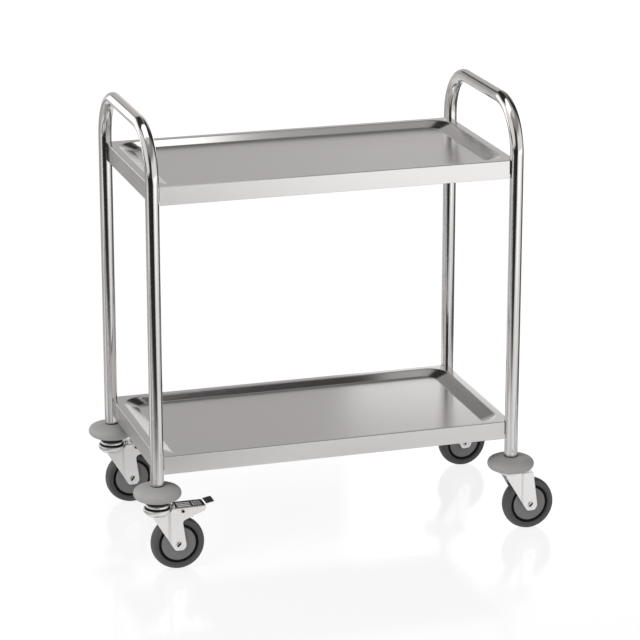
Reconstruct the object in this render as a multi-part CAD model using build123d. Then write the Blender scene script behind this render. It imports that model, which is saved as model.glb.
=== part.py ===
from build123d import *
import os
from math import sqrt

# Serving trolley: two bent tube end frames carry two pressed trays and stand on four swivel casters.
# X runs along the trays, Y across them, Z up. The floor is Z = 0 and the origin is under the middle.

# Whole trolley, in millimetres
POST_SPAN_X = 685.0
POST_SPAN_Y = 360.0
FOOT_CLEAR = 16.5
TRAY_SPACING = 504.0
LEG_ABOVE_RIM = 9.5

# End frame tube, with the bend measured to its centre line
TUBE_R = 12.5
TUBE_WALL = 1.2
BEND_R = 90.0

# Pressed trays
APRON = 34.0
SHEET = 1.0
HEM = 6.0
RIM = 15.0
WALL_RUN = 17.5
END_WALL_RUN = 25.0
TRAY_DEPTH = 12.5
TRAY_CORNER = 40.0
NOTCH_GAP = 0.1

# Corner brackets under the trays, with their screws and the inserts in the legs
BRACKET_SHEET = 2.5
BRACKET_WING = 36.0
BRACKET_MARGIN = 1.0
BRACKET_GAP = 0.05
SCREW_R = 3.0
SCREW_HEAD_R = 5.0
SCREW_HEAD_H = 4.0
SCREW_GAP = 0.05
INSERT_NECK_R = 4.5
INSERT_R = 5.5
INSERT_LENGTH = 10.0

# Caster stack, from the floor up
WHEEL_R = 50.0
WHEEL_TOP_GAP = 12.0
CROWN_PLATE = 3.0
RACE_H = 6.5
RACE_GAP = 0.8
CAP_H = 6.0
SPACER_H = 16.0
BUMPER_RECESS = 5.8
BUMPER_H = 25.0
PLUG_FLANGE = 2.0

# Caster heads
TRAIL = 36.0
CROWN_R = 26.0
CROWN_EDGE = 4.0
CROWN_FOOT_R = 21.5
CAP_R = 22.5
CAP_CHAMFER = 3.0
SPACER_R = 20.5
BALL_R = 2.5
BALL_GAP = 0.2
BALL_RING_R = 17.0
BALL_COUNT = 12
STEM_R = 5.0
STEM_FIT = 0.05
STEM_HEAD_R = 9.0
STEM_HEAD_H = 5.0
STEM_HEAD_GAP = 0.3

# Bumper discs and the plugs in the leg ends
BUMPER_R = 44.0
BUMPER_FOOT_R = 32.0
BUMPER_TOP_R = 14.0
BUMPER_RECESS_GAP = 0.5
NOSE_R = 10.0
NOSE_UP = 10.5
NOSE_TOP_ANGLE = 65.0
NOSE_FOOT_ANGLE = 60.0
PLUG_LENGTH = 22.0
PLUG_GAP = 0.1
LOCK_CLEAR = 2.0
LOCK_SCREW_R = 1.6
LOCK_SCREW_DEPTH = 7.0
LOCK_HEAD_R = 3.0
LOCK_HEAD_H = 1.2

# Forks
FORK_SHEET = 2.5
FORK_GAP = 32.0
FOOT_R = 12.5
FOOT_DROP = 9.5
FOOT_FILLET = 3.0
LEG_FRONT = 17.0
LEG_REAR = 40.0
LEG_SHOULDER = 3.0
CREASE_X = 20.0
CREASE_ANGLE = 6.0
ARM_END = 86.0
ARM_RISE = 9.0
ARM_TIP_H = 8.0
ARM_ROOT_H = 28.0
ARM_FILLET = 6.0
ARM_TIP_FILLET = 3.0

# Axles and wheels
AXLE_R = 4.0
AXLE_HEAD_R = 6.0
AXLE_HEAD_H = 2.6
AXLE_SOCKET_R = 2.6
AXLE_SOCKET_DEPTH = 1.6
AXLE_NUT_R = 7.0
AXLE_NUT_H = 4.5
SLEEVE_WALL = 2.0
BUSH_WALL = 3.0
RUNNING_FIT = 0.05
BUSH_SIDE_GAP = 0.5
HUB_R = 13.0
HUB_STEP = 0.5
DISC_ROOT_R = 16.0
DISC_ROOT_HALF = 11.5
DISC_HALF = 10.5
GROOVE = 4.0
GROOVE_HALF = 6.0
TYRE_DEPTH = 13.0
TYRE_INNER_HALF = 12.0
TYRE_SIDE_DROP = 6.0
TYRE_HALF = 13.2
TREAD_DROP = 2.2
TREAD_EDGE_HALF = 9.5

# Brakes on the two left casters
PIVOT_X = 43.0
PIVOT_DROP = 6.0
PIVOT_R = 2.5
PIVOT_HEAD_R = 4.5
PIVOT_HEAD_H = 1.5
PEDAL_FRONT = 20.0
PEDAL_CROWN_GAP = 1.2
PEDAL_SHEET = 2.0
PEDAL_SIDE_GAP = 0.5
PEDAL_RISE = 0.5
CHEEK_R = 5.5
CHEEK_FRONT = 30.0
CHEEK_REAR = 60.0
TIP_LENGTH = 18.0
TIP_HALF = 14.5
TIP_ANGLE = 20.0
LIP_H = 5.0
LIP_HALF = 12.0
SHOE_FRONT = 50.0
SHOE_REAR = 64.0
SHOE_HALF = 9.0
SHOE_GAP = 5.6

# The way each caster trails, in degrees from +X
FRONT_LEFT_ANGLE = 0.0
FRONT_RIGHT_ANGLE = 3.0
REAR_LEFT_ANGLE = 1.0
REAR_RIGHT_ANGLE = 9.0

# Each caster: its side along X, its side along Y and the way it trails. The two on the left have brakes.
CASTERS = {
    "front_left": (-1, -1, FRONT_LEFT_ANGLE),
    "front_right": (1, -1, FRONT_RIGHT_ANGLE),
    "rear_left": (-1, 1, REAR_LEFT_ANGLE),
    "rear_right": (1, 1, REAR_RIGHT_ANGLE),
}

# Heights that follow, from the floor up
AXLE_Z = WHEEL_R
CROWN_LOW = 2 * WHEEL_R + WHEEL_TOP_GAP
RACE_LOW = CROWN_LOW + CROWN_PLATE
RACE_TOP = RACE_LOW + RACE_H
CAP_LOW = RACE_TOP + RACE_GAP
CAP_TOP = CAP_LOW + CAP_H
BUMPER_LOW = CAP_TOP - BUMPER_RECESS
BUMPER_TOP = BUMPER_LOW + BUMPER_H
LEG_END = BUMPER_TOP + PLUG_FLANGE
LOWER_RIM = LEG_END + SPACER_H + FOOT_CLEAR + APRON
UPPER_RIM = LOWER_RIM + TRAY_SPACING
HANDLE_Z = UPPER_RIM + LEG_ABOVE_RIM + BEND_R
PLUG_TOP = LEG_END + PLUG_LENGTH
BALL_Z = (RACE_TOP + CAP_LOW) / 2

# Other sizes that follow
BORE_R = TUBE_R - TUBE_WALL
LOCK_SCREW_UP = FOOT_CLEAR - LOCK_HEAD_R - LOCK_CLEAR
LEG_IN = FORK_GAP / 2
LEG_OUT = LEG_IN + FORK_SHEET
ARM_TOP = CROWN_LOW + ARM_RISE
PIVOT_Z = ARM_TOP - PIVOT_DROP
PEDAL_TOP = ARM_TOP + PEDAL_RISE
PEDAL_LOW = PEDAL_TOP - PEDAL_SHEET
PEDAL_HALF = LEG_IN - PEDAL_SIDE_GAP
SLEEVE_R = AXLE_R + RUNNING_FIT + SLEEVE_WALL
BUSH_BORE_R = SLEEVE_R + RUNNING_FIT
BUSH_R = BUSH_BORE_R + BUSH_WALL
BUSH_HALF = LEG_IN - BUSH_SIDE_GAP
TYRE_INNER_R = WHEEL_R - TYRE_DEPTH
TYRE_SIDE_R = WHEEL_R - TYRE_SIDE_DROP
TREAD_EDGE_R = WHEEL_R - TREAD_DROP
DISC_R = TYRE_INNER_R - GROOVE
PEDAL_CLEAR_R = CROWN_R + PEDAL_CROWN_GAP
INWARD_ANGLES = {(-1, -1): 45.0, (1, -1): 135.0, (1, 1): 225.0, (-1, 1): 315.0}
UPRIGHT = (Align.CENTER, Align.CENTER, Align.MIN)


def post(side_x, side_y):
    """The place of a leg's axis on the floor."""
    return side_x * POST_SPAN_X / 2, side_y * POST_SPAN_Y / 2


def has_brake(side_x):
    """Whether the casters on this side have brakes, and so stand taller by a spacer."""
    return side_x < 0


def rise(side_x):
    """How much higher the legs end on this side."""
    return SPACER_H if has_brake(side_x) else 0.0


def rod(radius, low, high):
    """A round bar along Z."""
    return Pos(0, 0, low) * Cylinder(radius, high - low, align=UPRIGHT)


def cross_rod(radius, low, high, x=0.0, z=0.0):
    """A round bar along Y, through the given point of the XZ plane."""
    return Pos(x, 0, z) * Rot(X=-90) * rod(radius, low, high)


def slab(size_x, size_y, low, high):
    """A box centred on Z between two heights."""
    return Pos(0, 0, low) * Box(size_x, size_y, high - low, align=UPRIGHT)


def side_plate(outline, low, high):
    """An outline drawn in X and Z, made a plate between two places along Y."""
    return Rot(X=90) * Pos(0, 0, -high) * extrude(outline, high - low)


def hexagon_rod(radius, low, high):
    """A hexagonal bar along Z."""
    return Pos(0, 0, low) * extrude(RegularPolygon(radius, 6), high - low)


# End frames

def insert_places(side_x, side_y):
    """Where the threaded inserts stand in one leg, with local X pointing to the tray's middle."""
    x, y = post(side_x, side_y)
    turn = INWARD_ANGLES[side_x, side_y]
    heights = [rim - APRON / 2 for rim in (UPPER_RIM, LOWER_RIM)]
    return [Location((x, y, z), (0, 0, turn)) for z in heights]


def lock_turn(side_x):
    """The two end frames are alike, so one is turned about: its lock screws face the other way."""
    return 0.0 if side_x < 0 else 180.0


def lock_place(side_x, side_y):
    """Where a leg's lock screw stands, with local Y pointing out of the leg."""
    x, y = post(side_x, side_y)
    return Location((x, y, LEG_END + rise(side_x) + LOCK_SCREW_UP), (0, 0, lock_turn(side_x)))


def end_frame(side_x):
    """An inverted U of tube: two legs and the handle between them."""
    x, half = post(side_x, 1)
    foot = LEG_END + rise(side_x)
    corners = [(x, -half, foot), (x, -half, HANDLE_Z), (x, half, HANDLE_Z), (x, half, foot)]
    path = FilletPolyline(*corners, radius=BEND_R)
    section = Pos(*corners[0]) * (Circle(TUBE_R) - Circle(BORE_R))
    tube = sweep(section, path=path)
    for side_y in (-1, 1):
        for place in insert_places(side_x, side_y):
            tube -= place * Rot(Y=90) * rod(INSERT_NECK_R + SCREW_GAP, 0, 2 * TUBE_R)
        tube -= lock_place(side_x, side_y) * cross_rod(LOCK_SCREW_R + SCREW_GAP, 0, 2 * TUBE_R)
    return tube


# Trays

def basin(rim_z, depth, wall):
    """The tray's recess down to a depth, made larger all round by a wall of sheet."""
    levels = []
    for level in (0.0, depth):
        sizes = []
        for span, run in ((POST_SPAN_X, END_WALL_RUN), (POST_SPAN_Y, WALL_RUN)):
            slant = sqrt(run**2 + TRAY_DEPTH**2) / TRAY_DEPTH
            sizes.append(span - 2 * (RIM + run * level / TRAY_DEPTH - wall * slant))
        corner = TRAY_CORNER - WALL_RUN * level / TRAY_DEPTH + wall
        levels.append(Pos(0, 0, rim_z - level) * RectangleRounded(*sizes, corner))
    return loft(levels, ruled=True)


def tray(rim_z):
    """A tray of one sheet: rim, sloped walls, floor, and an apron with a hem folded inside it."""
    low = rim_z - APRON
    outside = slab(POST_SPAN_X, POST_SPAN_Y, low, rim_z)
    hollow = slab(POST_SPAN_X - 2 * SHEET, POST_SPAN_Y - 2 * SHEET, low + HEM, rim_z - SHEET)
    hollow += slab(POST_SPAN_X - 4 * SHEET, POST_SPAN_Y - 4 * SHEET, low, low + HEM)
    hollow -= basin(rim_z, TRAY_DEPTH + SHEET, SHEET)
    sheet = outside - basin(rim_z, TRAY_DEPTH, 0.0) - hollow
    for sides in INWARD_ANGLES:
        sheet -= Pos(*post(*sides)) * rod(TUBE_R + NOTCH_GAP, low - HEM, rim_z + HEM)
    return sheet


def corner_places(rim_z):
    """The four leg axes at a tray's mid apron height, with local X and Y along its two aprons."""
    for sides, turn in INWARD_ANGLES.items():
        yield Location((*post(*sides), rim_z - APRON / 2), (0, 0, turn - 45.0))


def corner_bracket():
    """A bent plate across a tray's inner corner, flat against both aprons and the leg."""
    near = (TUBE_R + BRACKET_GAP) * sqrt(2)
    far = near + BRACKET_SHEET * sqrt(2)
    inner = SHEET + BRACKET_SHEET
    outline = [
        (BRACKET_WING, SHEET),
        (near - SHEET, SHEET),
        (SHEET, near - SHEET),
        (SHEET, BRACKET_WING),
        (inner, BRACKET_WING),
        (inner, far - inner),
        (far - inner, inner),
        (BRACKET_WING, inner),
    ]
    low = HEM + BRACKET_MARGIN - APRON / 2
    high = APRON / 2 - SHEET - BRACKET_MARGIN
    plate = Pos(0, 0, low) * extrude(make_face(Polyline(*outline, close=True)), high - low)
    return plate - Rot(Z=45) * Rot(Y=90) * rod(SCREW_R + SCREW_GAP, 0, BRACKET_WING)


def bracket_screw():
    """A hexagon screw from inside the bracket into the leg's insert."""
    seat = TUBE_R + BRACKET_GAP + BRACKET_SHEET
    tip = BORE_R - INSERT_LENGTH
    screw = rod(SCREW_R, tip, seat) + hexagon_rod(SCREW_HEAD_R, seat, seat + SCREW_HEAD_H)
    return Rot(Z=45) * Rot(Y=90) * screw


def threaded_insert():
    """A riveted insert that stands in a leg's wall."""
    shoulder = sqrt(BORE_R**2 - INSERT_R**2) - SCREW_GAP
    body = rod(INSERT_R, BORE_R - INSERT_LENGTH, shoulder) + rod(INSERT_NECK_R, shoulder, TUBE_R)
    body -= rod(SCREW_R + SCREW_GAP, 0, TUBE_R)
    return Rot(Z=45) * Rot(Y=90) * body


# Leg feet

def bumper():
    """A soft disc with a round nose and a domed top, hollow underneath where the caster's cap sits."""
    nose = (BUMPER_R - NOSE_R, NOSE_UP)
    edge = CenterArc(nose, NOSE_R, -NOSE_FOOT_ANGLE, NOSE_FOOT_ANGLE + NOSE_TOP_ANGLE)
    underside = TangentArc(edge @ 0, (BUMPER_FOOT_R, 0), tangent=-(edge % 0))
    dome = TangentArc(edge @ 1, (BUMPER_TOP_R, BUMPER_H), tangent=edge % 1)
    hollow_r = CAP_R + BUMPER_RECESS_GAP
    bore = STEM_R + STEM_FIT
    inside = Polyline(
        (BUMPER_FOOT_R, 0),
        (hollow_r, 0),
        (hollow_r, BUMPER_RECESS),
        (bore, BUMPER_RECESS),
        (bore, BUMPER_H),
        (BUMPER_TOP_R, BUMPER_H),
    )
    disc = revolve(Plane.XZ * make_face([edge, underside, dome, inside]), Axis.Z)
    return Pos(0, 0, BUMPER_LOW) * disc


def tube_plug(side_x):
    """A plug in the leg's end, with a thin flange under the tube."""
    plug = rod(BORE_R - PLUG_GAP, LEG_END, PLUG_TOP) + rod(TUBE_R, BUMPER_TOP, LEG_END)
    plug -= rod(STEM_R + STEM_FIT, BUMPER_TOP, PLUG_TOP)
    hole = cross_rod(LOCK_SCREW_R + SCREW_GAP, 0, 2 * TUBE_R)
    return plug - Pos(0, 0, LEG_END + LOCK_SCREW_UP) * Rot(Z=lock_turn(side_x)) * hole


def lock_screw():
    """A small screw that holds the plug in the leg."""
    shank = cross_rod(LOCK_SCREW_R, TUBE_R - LOCK_SCREW_DEPTH, TUBE_R)
    return shank + cross_rod(LOCK_HEAD_R, TUBE_R, TUBE_R + LOCK_HEAD_H)


def stem_bolt(side_x):
    """The bolt that the fork turns on, from under its crown up into the plug."""
    head_top = CROWN_LOW - STEM_HEAD_GAP
    head = hexagon_rod(STEM_HEAD_R, head_top - STEM_HEAD_H, head_top)
    return head + rod(STEM_R, head_top, PLUG_TOP + rise(side_x))


def spacer():
    """The neck that lifts a bumper clear of the brake pedal."""
    return rod(SPACER_R, CAP_TOP, CAP_TOP + SPACER_H) - rod(STEM_R + STEM_FIT, CAP_TOP, CAP_TOP + SPACER_H)


# Caster heads

def ball_groove():
    """The ring that the swivel balls run in."""
    return Pos(0, 0, BALL_Z) * Torus(BALL_RING_R, BALL_R + BALL_GAP)


def head_cap():
    """The fixed upper race of the swivel head."""
    cap = rod(CAP_R, CAP_LOW, CAP_TOP)
    cap = chamfer(cap.edges().group_by(Axis.Z)[-1], CAP_CHAMFER)
    return cap - rod(STEM_R + STEM_FIT, CAP_LOW, CAP_TOP) - ball_groove()


def swivel_balls():
    """The balls between the cap and the fork's crown."""
    places = PolarLocations(BALL_RING_R, BALL_COUNT)
    return [Pos(0, 0, BALL_Z) * place * Sphere(BALL_R) for place in places]


# Forks

def leg_outline(braked):
    """A fork leg seen from the side: wide at the crown and round at the axle."""
    below = Pos(0, -FOOT_R - FOOT_DROP) * Rectangle(2 * FOOT_R, 2 * FOOT_R)
    flat_foot = Circle(FOOT_R) - below
    corners = flat_foot.vertices().group_by(Axis.Y)[0]
    foot = Pos(TRAIL, AXLE_Z) * fillet(corners, FOOT_FILLET)
    shoulder = Pos((LEG_REAR - LEG_FRONT) / 2, RACE_LOW - LEG_SHOULDER / 2)
    head = shoulder * Rectangle(LEG_FRONT + LEG_REAR, LEG_SHOULDER)
    outline = make_hull(foot.edges() + head.edges())
    if not braked:
        return outline
    arm = [
        (0, ARM_TOP),
        (ARM_END, ARM_TOP),
        (ARM_END, ARM_TOP - ARM_TIP_H),
        (TRAIL, ARM_TOP - ARM_ROOT_H),
    ]
    outline += make_face(Polyline(*arm, close=True))
    ends = outline.vertices().filter_by_position(Axis.X, ARM_END - 1, ARM_END + 1)
    outline = fillet(ends, ARM_TIP_FILLET)
    armpit = outline.vertices().sort_by_distance((LEG_REAR, ARM_TOP - ARM_ROOT_H))[0]
    return fillet(armpit, ARM_FILLET)


def fork_leg(outline, side_y):
    """A leg of sheet, creased so that its front leans in towards the round crown."""
    plate = side_plate(outline, LEG_IN, LEG_OUT)
    reach = 4 * WHEEL_R
    front_half = Pos(CREASE_X - reach / 2, 0, 0) * Box(reach, reach, 2 * reach)
    crease = Axis((CREASE_X, LEG_OUT, 0), (0, 0, 1))
    leg = (plate - front_half) + (plate & front_half).rotate(crease, CREASE_ANGLE)
    return leg if side_y > 0 else mirror(leg, Plane.XZ)


def fork_crown():
    """The round dish that holds the lower race."""
    profile = [
        (0, CROWN_LOW),
        (CROWN_FOOT_R, CROWN_LOW),
        (CROWN_R, RACE_TOP - CROWN_EDGE),
        (CROWN_R, RACE_TOP),
        (0, RACE_TOP),
    ]
    return revolve(Plane.XZ * make_face(Polyline(*profile, close=True)), Axis.Z)


def fork_web():
    """The plate between the legs, behind the crown."""
    return Pos(LEG_REAR / 2, 0, 0) * slab(LEG_REAR, 2 * LEG_IN, CROWN_LOW, RACE_LOW)


def fork(braked):
    """A pressed fork: crown and two legs, with a web behind, or arms for the pedal where it has a brake."""
    outline = leg_outline(braked)
    body = fork_crown() + fork_leg(outline, -1) + fork_leg(outline, 1)
    if not braked:
        body += fork_web()
    body -= rod(STEM_R + STEM_FIT, CROWN_LOW, RACE_TOP) + ball_groove()
    body -= cross_rod(AXLE_R + RUNNING_FIT, -2 * LEG_OUT, 2 * LEG_OUT, TRAIL, AXLE_Z)
    if braked:
        body -= cross_rod(PIVOT_R + RUNNING_FIT, -2 * LEG_OUT, 2 * LEG_OUT, PIVOT_X, PIVOT_Z)
    return body


# Axles and wheels

def axle_bolt():
    """The wheel's bolt and its nut."""
    place = Pos(TRAIL, 0, AXLE_Z) * Rot(X=-90)
    nut_far = LEG_OUT + AXLE_NUT_H
    head = rod(AXLE_HEAD_R, -LEG_OUT - AXLE_HEAD_H, -LEG_OUT)
    socket_floor = -LEG_OUT - AXLE_HEAD_H + AXLE_SOCKET_DEPTH
    head -= hexagon_rod(AXLE_SOCKET_R, -LEG_OUT - 2 * AXLE_HEAD_H, socket_floor)
    bolt = head + rod(AXLE_R, -LEG_OUT, nut_far)
    nut = hexagon_rod(AXLE_NUT_R, LEG_OUT, nut_far) - rod(AXLE_R + RUNNING_FIT, LEG_OUT, nut_far)
    return [place * bolt, place * nut]


def axle_sleeve():
    """The spacer that the fork clamps and the wheel turns on."""
    tube = cross_rod(SLEEVE_R, -LEG_IN, LEG_IN, TRAIL, AXLE_Z)
    return tube - cross_rod(AXLE_R + RUNNING_FIT, -LEG_IN, LEG_IN, TRAIL, AXLE_Z)


def wheel_bush():
    """The plain bearing pressed into the wheel."""
    tube = cross_rod(BUSH_R, -BUSH_HALF, BUSH_HALF, TRAIL, AXLE_Z)
    return tube - cross_rod(BUSH_BORE_R, -BUSH_HALF, BUSH_HALF, TRAIL, AXLE_Z)


def turned(half_profile):
    """A wheel piece turned about the axle from the half of its section on one side."""
    other_half = mirror(half_profile, Plane.XZ)
    return Pos(TRAIL, 0, AXLE_Z) * revolve(half_profile + other_half, Axis.Y)


def wheel_core():
    """The wheel's moulded centre: hub, disc and the rim inside the tyre, with a groove beside it."""
    hub_half = BUSH_HALF - HUB_STEP
    points = [
        (BUSH_R, 0),
        (BUSH_R, hub_half),
        (HUB_R, hub_half),
        (DISC_ROOT_R, DISC_ROOT_HALF),
        (DISC_R, DISC_HALF),
        (DISC_R, GROOVE_HALF),
        (TYRE_INNER_R, GROOVE_HALF),
        (TYRE_INNER_R, 0),
    ]
    return turned(make_face(Polyline(*points, close=True)))


def tyre():
    """A solid tyre with a crowned tread and round shoulders."""
    flank = (TYRE_SIDE_R, TYRE_HALF)
    side = Polyline((WHEEL_R, 0), (TYRE_INNER_R, 0), (TYRE_INNER_R, TYRE_INNER_HALF), flank)
    shoulder = TangentArc(flank, (TREAD_EDGE_R, TREAD_EDGE_HALF), tangent=side % 1)
    crown_r = (TREAD_EDGE_HALF**2 + TREAD_DROP**2) / (2 * TREAD_DROP)
    tread = RadiusArc((TREAD_EDGE_R, TREAD_EDGE_HALF), (WHEEL_R, 0), crown_r)
    return turned(make_face([side, shoulder, tread]))


# Brakes

def pivot_pin():
    """The rivet that the pedal turns on."""
    pin = cross_rod(PIVOT_R, -LEG_OUT, LEG_OUT, PIVOT_X, PIVOT_Z)
    for low, high in ((-LEG_OUT - PIVOT_HEAD_H, -LEG_OUT), (LEG_OUT, LEG_OUT + PIVOT_HEAD_H)):
        pin += cross_rod(PIVOT_HEAD_R, low, high, PIVOT_X, PIVOT_Z)
    return pin


def tip_place():
    """The frame of the pedal's raised tip, with local X along it."""
    return Pos(ARM_END, 0, PEDAL_LOW) * Rot(Y=-TIP_ANGLE)


def brake_pedal():
    """A pressed lever between the arms: a flat tread, a front lip, two cheeks on the pivot and a raised tip."""
    tread_length = ARM_END - PEDAL_FRONT
    middle = PEDAL_FRONT + tread_length / 2
    lever = Pos(middle, 0, 0) * slab(tread_length, 2 * PEDAL_HALF, PEDAL_LOW, PEDAL_TOP)
    lever -= rod(PEDAL_CLEAR_R, PEDAL_LOW, PEDAL_TOP)
    lip = slab(PEDAL_SHEET, 2 * LIP_HALF, PEDAL_LOW, PEDAL_TOP + LIP_H)
    lever += Pos(PEDAL_CLEAR_R + PEDAL_SHEET / 2, 0, 0) * lip
    lever += tip_place() * Pos(TIP_LENGTH / 2, 0, 0) * slab(TIP_LENGTH, 2 * TIP_HALF, 0, PEDAL_SHEET)
    eye = Pos(PIVOT_X, PIVOT_Z) * Circle(CHEEK_R)
    edge = Pos((CHEEK_FRONT + CHEEK_REAR) / 2, PEDAL_LOW) * Rectangle(CHEEK_REAR - CHEEK_FRONT, PEDAL_SHEET)
    cheek = make_hull(eye.edges() + edge.edges())
    for low, high in ((-PEDAL_HALF, PEDAL_SHEET - PEDAL_HALF), (PEDAL_HALF - PEDAL_SHEET, PEDAL_HALF)):
        lever += side_plate(cheek, low, high)
    return lever - cross_rod(PIVOT_R + RUNNING_FIT, -LEG_OUT, LEG_OUT, PIVOT_X, PIVOT_Z)


def brake_shoe():
    """The block under the pedal that presses on the tyre."""
    length = SHOE_REAR - SHOE_FRONT
    block = Pos(SHOE_FRONT + length / 2, 0, 0) * slab(length, 2 * SHOE_HALF, AXLE_Z, PEDAL_LOW)
    return block - cross_rod(WHEEL_R + SHOE_GAP, -LEG_OUT, LEG_OUT, TRAIL, AXLE_Z)


# Assembly

def frame_nodes():
    """The frame, the trays and what joins them."""
    corners = [corner for rim in (UPPER_RIM, LOWER_RIM) for corner in corner_places(rim)]
    posts = {sides: Pos(*post(*sides)) for sides in INWARD_ANGLES}
    return {
        "left_frame_tube": end_frame(-1),
        "right_frame_tube": end_frame(1),
        "upper_tray": tray(UPPER_RIM),
        "lower_tray": tray(LOWER_RIM),
        "corner_brackets": [corner * corner_bracket() for corner in corners],
        "bracket_screws": [corner * bracket_screw() for corner in corners],
        "threaded_inserts": [corner * threaded_insert() for corner in corners],
        "stem_bolts": [place * stem_bolt(sides[0]) for sides, place in posts.items()],
        "lock_screws": [lock_place(*sides) * lock_screw() for sides in posts],
    }


def caster_nodes(name, side_x, side_y, heading):
    """One leg's foot and caster, turned to the way it trails."""
    braked = has_brake(side_x)
    upright = Pos(*post(side_x, side_y))
    turned_place = upright * Rot(Z=heading)
    lift = Pos(0, 0, rise(side_x))
    fixed = {"bumper": lift * bumper(), "tube_plug": lift * tube_plug(side_x), "head_cap": head_cap()}
    turning = {
        "swivel_balls": swivel_balls(),
        "fork": fork(braked),
        "axle_bolt": axle_bolt(),
        "axle_sleeve": axle_sleeve(),
        "wheel_bush": wheel_bush(),
        "wheel_core": wheel_core(),
        "tyre": tyre(),
    }
    if braked:
        fixed["spacer"] = spacer()
        turning["pivot_pin"] = pivot_pin()
        turning["brake_pedal"] = brake_pedal()
        turning["brake_shoe"] = brake_shoe()
    nodes = {}
    for place, pieces in ((upright, fixed), (turned_place, turning)):
        for piece, shape in pieces.items():
            solids = shape if isinstance(shape, list) else [shape]
            nodes[f"{name}_{piece}"] = [place * solid for solid in solids]
    return nodes


def write(name, shape):
    """One file for each node, with a group's solids side by side."""
    whole = Compound(children=shape) if isinstance(shape, list) else shape
    export_step(whole, os.path.join("parts", name + ".step"))


os.makedirs("parts", exist_ok=True)
all_nodes = frame_nodes()
for caster, settings in CASTERS.items():
    all_nodes.update(caster_nodes(caster, *settings))
for node, shape in all_nodes.items():
    write(node, shape)
print(len(all_nodes), "nodes written")
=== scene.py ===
from math import acos, atan2, ceil, cos, degrees, hypot, pi, radians, sin, sqrt

import bmesh
import bpy
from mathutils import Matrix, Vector


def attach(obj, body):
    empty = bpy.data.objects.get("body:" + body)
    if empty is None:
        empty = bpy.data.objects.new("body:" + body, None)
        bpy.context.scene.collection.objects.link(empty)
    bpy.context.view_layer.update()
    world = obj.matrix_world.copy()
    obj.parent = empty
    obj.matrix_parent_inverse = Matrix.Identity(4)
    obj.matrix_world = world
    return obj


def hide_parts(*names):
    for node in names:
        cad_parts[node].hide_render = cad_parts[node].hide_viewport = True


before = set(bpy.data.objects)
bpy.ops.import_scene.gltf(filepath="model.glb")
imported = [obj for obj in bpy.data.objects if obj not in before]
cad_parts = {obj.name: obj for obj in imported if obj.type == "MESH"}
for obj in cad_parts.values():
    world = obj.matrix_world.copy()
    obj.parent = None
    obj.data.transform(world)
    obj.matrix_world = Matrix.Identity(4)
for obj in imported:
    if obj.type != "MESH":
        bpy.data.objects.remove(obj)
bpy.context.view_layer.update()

bl_info = {
    "name": "Serving Trolley",
    "version": (1, 0, 0),
    "blender": (4, 5, 0),
    "location": "3D View > Sidebar > Trolley",
    "description": "Models the looks of a two-tray serving trolley round its packed frame",
    "category": "Add Mesh",
}

# Sizes in millimetres and angles in degrees, unless a comment or a property says otherwise
MM = 0.001
SMOOTH_ANGLE = 32.0
BEVEL_ANGLE = 28.0
ARC_STEP = 3.0
MERGE_REACH = 0.01
SLACK = 0.1

# Each caster's side along X and along Y, and its turn about Z at rest
CASTERS = {
    "front_left": (-1, -1, 0.0),
    "front_right": (1, -1, 3.0),
    "rear_left": (-1, 1, 1.0),
    "rear_right": (1, 1, 9.0),
}
BRAKED = ("front_left", "rear_left")

# Legs and trays
TUBE_WALL = 1.2
TUBE_MOUTH = 0.6
HANDLE_Z = 819.5
LEG_END = 149.5
PLUG_R = 11.2
PLUG_H = 22.0
FLANGE_R = 12.5
SCREW_RISE = 11.5
SPACER_H = 16.0
SPACER_R = 20.5
RIMS = {"upper": 720.0, "lower": 216.0}
APRON = 34.0
SHEET = 1.0
HEM = 6.0
RIM = 15.0
WALL_RUN = 14.0
END_WALL_RUN = 27.0
TRAY_DEPTH = 10.5
NOTCH_R = 13.6

# Casters
TRAIL = 36.0
AXLE_Z = 50.0
STEM_HOLE_R = 5.1
RACE_HOLE_R = 6.0
CROWN_LOW = 112.0
CROWN_R = 26.0
RACE_LOW = 115.0
RACE_TOP = 121.5
SEAL_R = 23.2
SEAL_GROOVE = 1.4
CAP_LOW = 122.3
CAP_TOP = 128.3
CAP_R = 22.5
# The height of the cap's lower band, which is painted shade
CAP_SHADE_H = 1.5
BUMPER_LOW = 122.5
BUMPER_H = 25.0
LEG_IN = 16.0
LEG_OUT = 18.5
FOOT_R = 12.5
FOOT_DROP = 10.8
LEG_FRONT = 15.5
LEG_REAR = 40.0
LEG_SHOULDER = 112.0
CREASE_X = 20.0
CREASE_STEP = 2.0
CREASE_WIDE = 4.5
ARM_END = 86.0
ARM_LOW = 113.0
ARM_TOP = 121.0
ARM_PIT = 96.0
PEDAL_LOW = 119.5
PEDAL_TOP = 121.5
PEDAL_HALF = 15.5
PEDAL_CLEAR_R = 27.2
PIVOT = (43.0, 115.0)
TIP_STEP = (1.5, 0.0, 2.4)
TIP_LENGTH = 16.0
TIP_HALF = 14.5
TIP_ANGLE = 11.0
LIP_H = 5.0
LIP_HALF = 12.0
DISC_R = 32.1
GROOVE_HALF = 6.0
TYRE_INNER_R = 37.6

# The stage, in metres, with the camera's lens and sensor in millimetres
CAMERA_PLACE = (-1.513, -4.954, 1.998)
CAMERA_TILT = 72.78
CAMERA_TURN = -17.22
CAMERA_LENS = 162.2
CAMERA_SENSOR = 36.0
CAMERA_REACH = 100.0
FLOOR_SIZE = 24.0
CARD_Z = 0.002

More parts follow.
